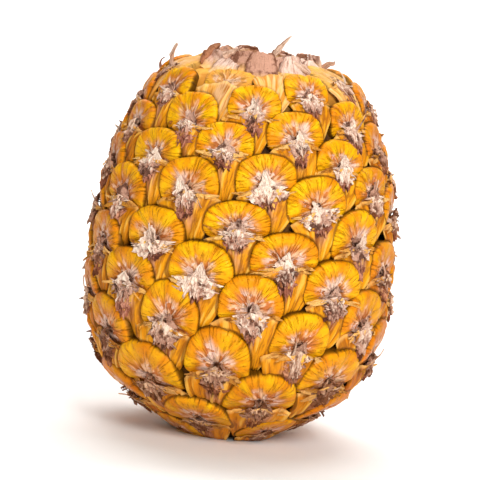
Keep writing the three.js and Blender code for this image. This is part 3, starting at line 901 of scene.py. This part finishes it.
def make_dry_blossoms(material):
    """Dark dry stubs of the flower that stand in each cup."""
    which = np.repeat(eyes.dry, BLOSSOM_PARTS)
    n = len(which)
    size = eyes.size[which]
    parts = Blades(
        n, x=rng.normal(0, 1.0, n) * MM * size, y=0.11 * eyes.tall[which] + rng.normal(0, 1.0, n) * MM,
        z=rng.uniform(-1.2, 0.2, n) * MM * size, heading=rng.uniform(0, 2 * math.pi, n),
        length=rng.uniform(1.8, 3.6, n) * MM * size, width=rng.uniform(0.8, 1.8, n) * MM * size,
        lift=rng.uniform(0.5, 1.3, n), curl=rng.normal(0, 0.8, n), twist=rng.normal(0, 1.0, n),
        taper=rng.uniform(0.8, 2.0, n), gutter=rng.uniform(-0.8, 0.8, n), thickness=PAPER_THICKNESS,
        tone=rng.beta(0.8, 2.6, n), wear_and_side_shade=eyes.wear_and_side_shade[which],
    )
    make_blades("dry_blossoms", parts, partial(eyes.place, which), material, "fruit",
                rows=6, columns=4, crumple=0.3 * MM, ragged=0.3, blunt=0.3)


SPINE_STEP = 3  # every third eye keeps its thin spine


def make_bract_spines(material):
    """Thin dry spines that stand off the tips of some bracts."""
    which = eyes.dry[::SPINE_STEP]
    n = len(which)
    spines = Blades(
        n, x=rng.normal(0, 1.5, n) * MM, y=rng.uniform(0.02, 0.08, n) * eyes.tall[which], z=1.6 * MM,
        heading=UPWARD + rng.normal(0, 0.5, n), length=rng.uniform(4.5, 7.5, n) * MM,
        width=rng.uniform(0.9, 1.4, n) * MM, lift=rng.uniform(0.3, 0.85, n),
        curl=rng.uniform(-1.1, 0.1, n), twist=rng.normal(0, 0.4, n), taper=rng.uniform(0.8, 1.2, n),
        gutter=0.3, thickness=PAPER_THICKNESS, tone=rng.uniform(0.3, 0.8, n), wear_and_side_shade=eyes.wear_and_side_shade[which],
    )
    make_blades("bract_spines", spines, partial(eyes.place, which), material, "fruit",
                rows=10, columns=4, crumple=0.1 * MM, ragged=0.1, blunt=0.12)


# Crown remains

LEAF_ROWS = [
    # leaves, radius, foot height, length, width, lean, share of the front's longer reach
    (13, 26.5, 139.8, 9.0, 12.6, -0.95, 1.0),
    (12, 24.0, 140.8, 8.0, 12.0, -0.75, 0.45),
    (11, 21.5, 141.2, 7.8, 11.0, -0.55, 0.0),
    (9, 17.0, 141.5, 6.6, 10.5, -0.35, 0.0),
    (7, 12.0, 142.0, 5.0, 8.5, -0.15, 0.0),
]
FRONT_REACH_OUT = 6 * MM  # of the front leaves, down the shoulder
FRONT_REACH_DOWN = 2.2 * MM
FRONT_REACH_TURN = 0.62  # how far round the crown the longer reach runs, in radians
LEAF_ROW_TURN = 0.21  # from one row to the next, in radians
LEAST_LEAF_RADIUS = 6 * MM
SCAR_RADIUS = 14 * MM
SCAR_PROFILE = [
    # share of the scar's radius, height in millimetres
    (0.02, 144.0), (0.2, 144.2), (0.4, 144.8), (0.55, 145.4), (0.7, 145.2), (0.85, 144.6),
    (1.0, 144.0), (1.0, 141.0), (0.9, 140.0),
]
SCAR_SPOKES = 72
SCAR_ROUGHNESS = 0.5 * MM
SCAR_RING = 0.7  # of the ring number, so that its rim stays paler than the stalk's
STRIPS = [
    # angle round the crown in degrees, radius, height, heading, length, width, curl, lift, tone
    (-74, 34.5, 139.0, 1.4, 9, 2.2, -1.0, 0.5, 0.7),
    (-62, 26.5, 140.5, 1.75, 12, 6.5, -0.2, -0.7, 0.3),
    (-40, 22.5, 145.5, 0.5, 7, 3.0, 0.6, -0.3, 0.8),
    (15, 16.0, 146.5, 0.8, 12, 2.8, 0.15, 0.0, 0.85),
    (30, 23.5, 145.5, -0.5, 12, 3.0, 0.4, 0.2, 0.9),
    (38, 24.5, 145.0, -0.75, 9, 2.4, 0.5, 0.2, 0.8),
    (118, 27.0, 141.0, 1.9, 6, 2.8, 1.5, 0.0, 0.6),
    (150, 25.0, 141.0, 0.8, 7, 3.0, 1.2, 0.1, 0.8),
    (178, 28.0, 140.0, 2.2, 6, 2.4, 1.8, 0.2, 0.4),
    (205, 26.0, 141.0, 1.4, 6, 3.2, 1.0, 0.2, 0.7),
    (238, 27.0, 139.0, 0.6, 7, 2.6, 1.6, 0.1, 0.5),
]


def make_crown_leaves(material):
    counts = [row[0] for row in LEAF_ROWS]
    n = sum(counts)
    row = np.repeat(np.arange(len(LEAF_ROWS)), counts)
    radius, foot, length, width, lean, reach = np.array(LEAF_ROWS)[row, 1:].T
    angle = np.concatenate([np.arange(c) / c * 2 * math.pi for c in counts])
    angle = angle + rng.normal(0, 0.1, n) + row * LEAF_ROW_TURN
    front = np.exp(-((shortest_turn(angle) / FRONT_REACH_TURN) ** 2)) * reach
    radius = radius * MM + FRONT_REACH_OUT * front
    foot = foot * MM - FRONT_REACH_DOWN * front
    leaves = Blades(
        n, x=0, y=rng.uniform(-1.5, 0.5, n) * MM, z=rng.uniform(-0.3, 0.3, n) * MM,
        heading=UPWARD + rng.normal(0, 0.1, n),
        length=length * rng.uniform(0.88, 1.04, n) * MM + FRONT_REACH_OUT * front,
        width=width * rng.uniform(0.85, 1.1, n) * MM, lift=lean + rng.normal(0, 0.05, n),
        curl=rng.normal(0.1, 0.25, n), twist=rng.normal(0, 0.08, n), taper=rng.uniform(2.5, 5, n),
        gutter=rng.uniform(-0.45, -0.05, n), thickness=rng.uniform(0.6, 0.9, n) * MM,
        tone=rng.beta(3.2, 1.7, n), wear_and_side_shade=0,
    )

    def put(x, y, raised):
        out = widen(radius, 3) + raised
        return round_axis(widen(angle, 3) + x / np.maximum(out, LEAST_LEAF_RADIUS), out, widen(foot, 3) + y)

    make_blades("crown_leaf_stubs", leaves, put, material, "crown_leaf_bases",
                rows=16, columns=13, crumple=0.35 * MM, ragged=0.06, blunt=0.6)


def make_crown_strips(material):
    angle, radius, height, heading, length, width, curl, lift, tone = np.array(STRIPS, dtype=float).T
    m = len(STRIPS)
    strips = Blades(
        m, x=0, y=height * MM, z=radius * MM, heading=heading, length=length * MM, width=width * MM,
        lift=lift, curl=curl, twist=rng.normal(0, 0.4, m), taper=rng.uniform(1.2, 2.2, m),
        gutter=rng.uniform(0.6, 1.4, m) * np.where(rng.random(m) < 0.5, -1, 1), thickness=0.45 * MM,
        tone=tone, wear_and_side_shade=0,
    )

    def put(x, y, raised):
        return round_axis(widen(np.radians(angle), 3) + x / CROWN_RADIUS, raised, y)

    make_blades("crown_strips", strips, put, material, "crown_leaf_bases",
                rows=16, columns=5, crumple=0.3 * MM, ragged=0.2, blunt=0.15)


def make_scar(material):
    ring, height = np.array(SCAR_PROFILE).T[:, :, None]
    spokes = np.linspace(0, 2 * math.pi, SCAR_SPOKES, endpoint=False)
    rough = ripple(np.cos(spokes) * 5, ring * 9 + np.sin(spokes) * 5, phases_for(1, 2)[:, 0])
    points = round_axis(spokes, ring * SCAR_RADIUS, height * MM + SCAR_ROUGHNESS * rough)
    quads, ends = round_faces(len(ring), SCAR_SPOKES)
    caps = [end[::-1] for end in ends]
    scar = make_piece("crown_scar", points, quads[:, ::-1], material, {"ring": ring * SCAR_RING}, caps)
    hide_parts("crown_leaf_bases")


# Cut end of the stalk

STALK_PROFILE = [
    # share of the stalk's radius, height in millimetres
    (0.02, 0.9), (0.2, 0.85), (0.4, 0.6), (0.56, 0.1), (0.7, 0.0), (0.86, 0.0), (0.97, 0.0),
    (1.0, 0.3), (1.0, 5.9),
]
STALK_SPOKES = 96


def make_stalk(material):
    ring, height = np.array(STALK_PROFILE).T[:, :, None]
    spokes = np.linspace(0, 2 * math.pi, STALK_SPOKES, endpoint=False)
    points = round_axis(spokes, ring * STALK_RADIUS, height * MM)
    quads, caps = round_faces(len(ring), STALK_SPOKES)
    stalk = make_piece("stalk_cut", points, quads, material, {"ring": ring}, caps)
    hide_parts("stalk_end")


# Floor, light and camera

CAMERA_DISTANCE = 1.277
CAMERA_ELEVATION = math.radians(7.5)
FRUIT_LEAN = math.radians(6)  # to the right in the picture
FRUIT_MIDDLE = 73.7 * MM
AIM_RIGHT = -1.0 * MM
AIM_UP = 0.9 * MM
LENS = 250
SENSOR = 36


def make_stage():
    floor_mesh = bpy.data.meshes.new("floor")
    far, near, side, top, bend = 1.6, -2.5, 4.0, 3.0, 0.8
    profile = [(near, 0), (far, 0)]
    steps = 16
    for k in range(1, steps + 1):
        a = k / steps * math.pi / 2
        profile.append((far + bend * math.sin(a), bend * (1 - math.cos(a))))
    profile.append((far + bend, top))
    vertices = [(x, y, z) for y, z in profile for x in (-side, side)]
    faces = [(2 * k, 2 * k + 1, 2 * k + 3, 2 * k + 2) for k in range(len(profile) - 1)]
    floor_mesh.from_pydata(vertices, [], faces)
    floor_mesh.polygons.foreach_set("use_smooth", [True] * len(faces))
    floor = add_object("floor", floor_mesh)
    material, shade = new_material("pale_floor", 0.9, 0.1)
    grain = shade.noise(shade.place_in_object(), 40.0, 2.0)
    shade.give({"Base Color": shade.mix(grain, (244, 244, 243), (248, 248, 247))})
    floor_mesh.materials.append(material)


def add_area_light(name, place, aim, size, power):
    light = bpy.data.lights.new(name, "AREA")
    light.shape = "SQUARE"
    light.size = size
    light.energy = power
    lamp = add_object(name, light)
    lamp.location = place
    lamp.rotation_euler = (Vector(aim) - Vector(place)).to_track_quat("-Z", "Y").to_euler()


def light_scene():
    aim = (axis_x, axis_y, FRUIT_MIDDLE)
    add_area_light("key_light", (0.4, -1.28, 0.8), aim, 0.6, 19)
    add_area_light("fill_light", (0.1, -1.3, 0.12), aim, 0.9, 3.0)
    add_area_light("top_light", (0.0, 0.1, 1.4), aim, 0.9, 3.5)
    add_area_light("backdrop_light", (0.0, 0.9, 1.8), (0.0, 2.3, 0.2), 1.6, 60)
    world = bpy.data.worlds.new("soft_room")
    world.use_nodes = True
    world.node_tree.nodes["Background"].inputs["Color"].default_value = (1, 0.9, 0.78, 1)
    world.node_tree.nodes["Background"].inputs["Strength"].default_value = 0.2
    bpy.context.scene.world = world
    bpy.context.scene.view_settings.view_transform = "Standard"


def place_camera():
    forward = Vector((0, math.cos(CAMERA_ELEVATION), -math.sin(CAMERA_ELEVATION)))
    level_right = Vector((1, 0, 0))
    level_up = level_right.cross(forward)
    right = level_right * math.cos(FRUIT_LEAN) + level_up * math.sin(FRUIT_LEAN)
    up = level_up * math.cos(FRUIT_LEAN) - level_right * math.sin(FRUIT_LEAN)
    aim = Vector((axis_x, axis_y, FRUIT_MIDDLE)) + right * AIM_RIGHT + up * AIM_UP
    camera = add_object("camera", bpy.data.cameras.new("camera"))
    camera.data.lens = LENS
    camera.data.sensor_width = SENSOR
    camera.data.clip_end = 20
    turn = Matrix((right, up, -forward)).transposed().to_4x4()
    camera.matrix_world = Matrix.Translation(aim - forward * CAMERA_DISTANCE) @ turn
    bpy.context.scene.camera = camera


tip_paper = paper_material("tip_paper", (250, 230, 210), (200, 156, 134), (88, 50, 36), 6.0)
brown_paper = paper_material("brown_paper", (206, 148, 122), (158, 96, 74), (70, 38, 30), 6.0)
edge_paper = paper_material("edge_paper", (250, 204, 126), (230, 158, 58), (140, 78, 30), 5.0)
leaf_paper = paper_material("leaf_paper", (244, 214, 196), (202, 152, 128), (112, 68, 48), 9.0, 0.8, 0.7)
strip_paper = paper_material("strip_paper", (238, 204, 180), (176, 120, 86), (104, 62, 40), 7.0, 0.5)
cut_stalk = cut_stalk_material()

make_core(crease_material())
make_arches(arch_skin_material())
make_bracts(bract_material())
make_bands("crumpled_bands", tip_paper, 0.075, (0.13, 0.29), (0.12, 0.27), 1.6, 0.36)
make_bands("brown_bands", brown_paper, -0.03, (0.08, 0.2), (0.08, 0.3), 1.0, 0.4)
make_bract_tips(tip_paper)
make_tip_shreds(tip_paper)
make_dry_blossoms(tip_paper)
make_wing_edges(edge_paper)
make_crown_leaves(leaf_paper)
make_crown_strips(strip_paper)
make_scar(cut_stalk)
make_bract_spines(tip_paper)
make_stalk(cut_stalk)
make_stage()
light_scene()
place_camera()
